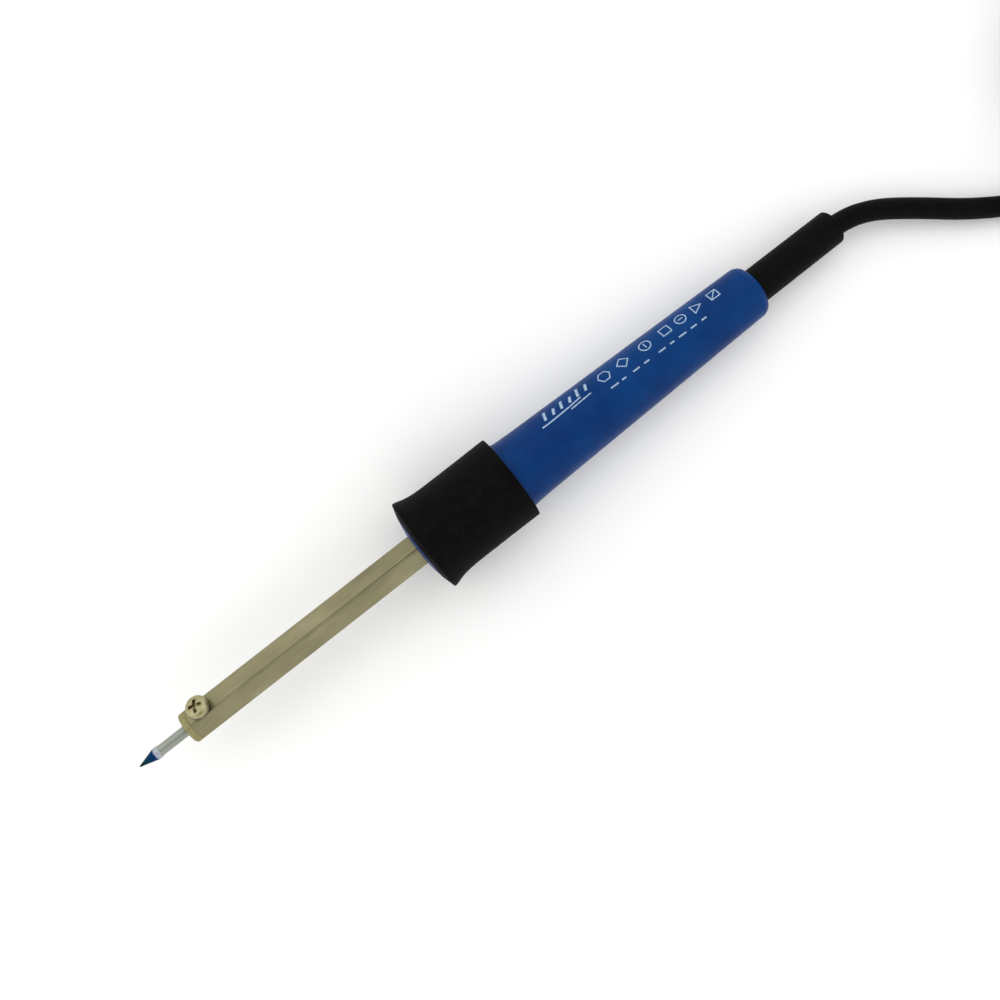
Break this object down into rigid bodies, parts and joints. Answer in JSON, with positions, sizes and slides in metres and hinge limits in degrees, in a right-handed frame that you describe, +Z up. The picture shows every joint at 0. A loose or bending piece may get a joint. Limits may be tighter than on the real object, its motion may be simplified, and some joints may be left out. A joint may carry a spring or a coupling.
{
  "type": "soldering iron",
  "caption": "Mains soldering iron with a screw-clamped pencil bit, six-sided barrel, blue handle with a rubber grip, and its cord folded into a hank with an earthed plug.",
  "frame": {"origin": "on the table under the middle of the iron without its free cord", "axes": "+Z up from the table; +X from the bit to the cord; +Y to the side that the clamp screw leans to"},
  "size_m": [0.4531, 0.0561, 0.0578],
  "materials": {
    "plated_bit": "iron-plated copper, chromed shank, dark blue point",
    "nose_steel": "machined steel, zinc plated, straw tint",
    "barrel_steel": "folded steel sheet, drawn along its length",
    "spring_steel": "spring steel",
    "screw_steel": "zinc-plated steel",
    "tube_steel": "stainless tube",
    "mica": "mica sheet",
    "resistance_wire": "nickel-chrome wire",
    "steatite": "unglazed steatite",
    "nickel_lead": "nickel rod",
    "glass_sleeving": "braided glass fibre",
    "handle_plastic": "blue nylon moulding, satin",
    "grip_rubber": "black rubber, matt",
    "tinned_copper": "tinned copper",
    "white_sleeving": "silicone-coated glass sleeve",
    "brown_pvc": "brown PVC",
    "blue_pvc": "blue PVC",
    "green_yellow_pvc": "green and yellow PVC",
    "clamp_steel": "zinc-plated steel band",
    "cord_rubber": "black rubber sheath",
    "boot_rubber": "black PVC boot, satin",
    "tie_plastic": "flat plastic tie",
    "plug_pvc": "black PVC moulding",
    "pin_brass": "nickel-plated brass"
  },
  "bodies": {
    "iron": {"nose_block": "nose_steel", "barrel": "barrel_steel", "core_tube": "tube_steel", "mica_inner": "mica", "heater_winding": "resistance_wire", "mica_outer": "mica", "rear_insulator": "steatite", "element_leads": "nickel_lead", "lead_sleeving": "glass_sleeving", "barrel_flange": "tube_steel", "flange_screws": "screw_steel", "front_cap": "handle_plastic", "handle": "handle_plastic", "grip_sleeve": "grip_rubber", "crimp_splices": "tinned_copper", "splice_sleeves": "white_sleeving", "core_brown": "brown_pvc", "core_blue": "blue_pvc", "core_green_yellow": "green_yellow_pvc", "earth_tag": "tinned_copper", "cord_clamp": "clamp_steel", "cord_end": "cord_rubber", "cord_boot": "boot_rubber", "cord_lead": "cord_rubber", "cord_hank": "cord_rubber", "hank_ties": "tie_plastic", "cord_tail": "cord_rubber", "plug_boot": "plug_pvc", "plug_body": "plug_pvc", "plug_pins": "pin_brass", "plug_earth_clips": "pin_brass"},
    "bit": {"soldering_bit": "plated_bit"},
    "washer": {"lock_washer": "spring_steel"},
    "screw": {"clamp_screw": "screw_steel"}
  },
  "joints": [
    {"name": "bit_slide", "type": "slide", "parent": "iron", "child": "bit", "axis": [-0.9985, 0, 0.0541], "range_m": [0, 0.045]},
    {"name": "screw_lift", "type": "slide", "parent": "iron", "child": "washer", "axis": [0.0469, 0.5, 0.8648], "range_m": [0, 0.0018]},
    {"name": "screw_turn", "type": "hinge", "parent": "washer", "child": "screw", "pos_m": [-0.09844, 0.003, 0.02343], "axis": [0.0469, 0.5, 0.8648], "range_deg": [0, 1080.5]}
  ],
  "couplings": [
    {"joint": "screw_turn", "follows": "screw_lift", "rad_per_m": 10472}
  ]
}
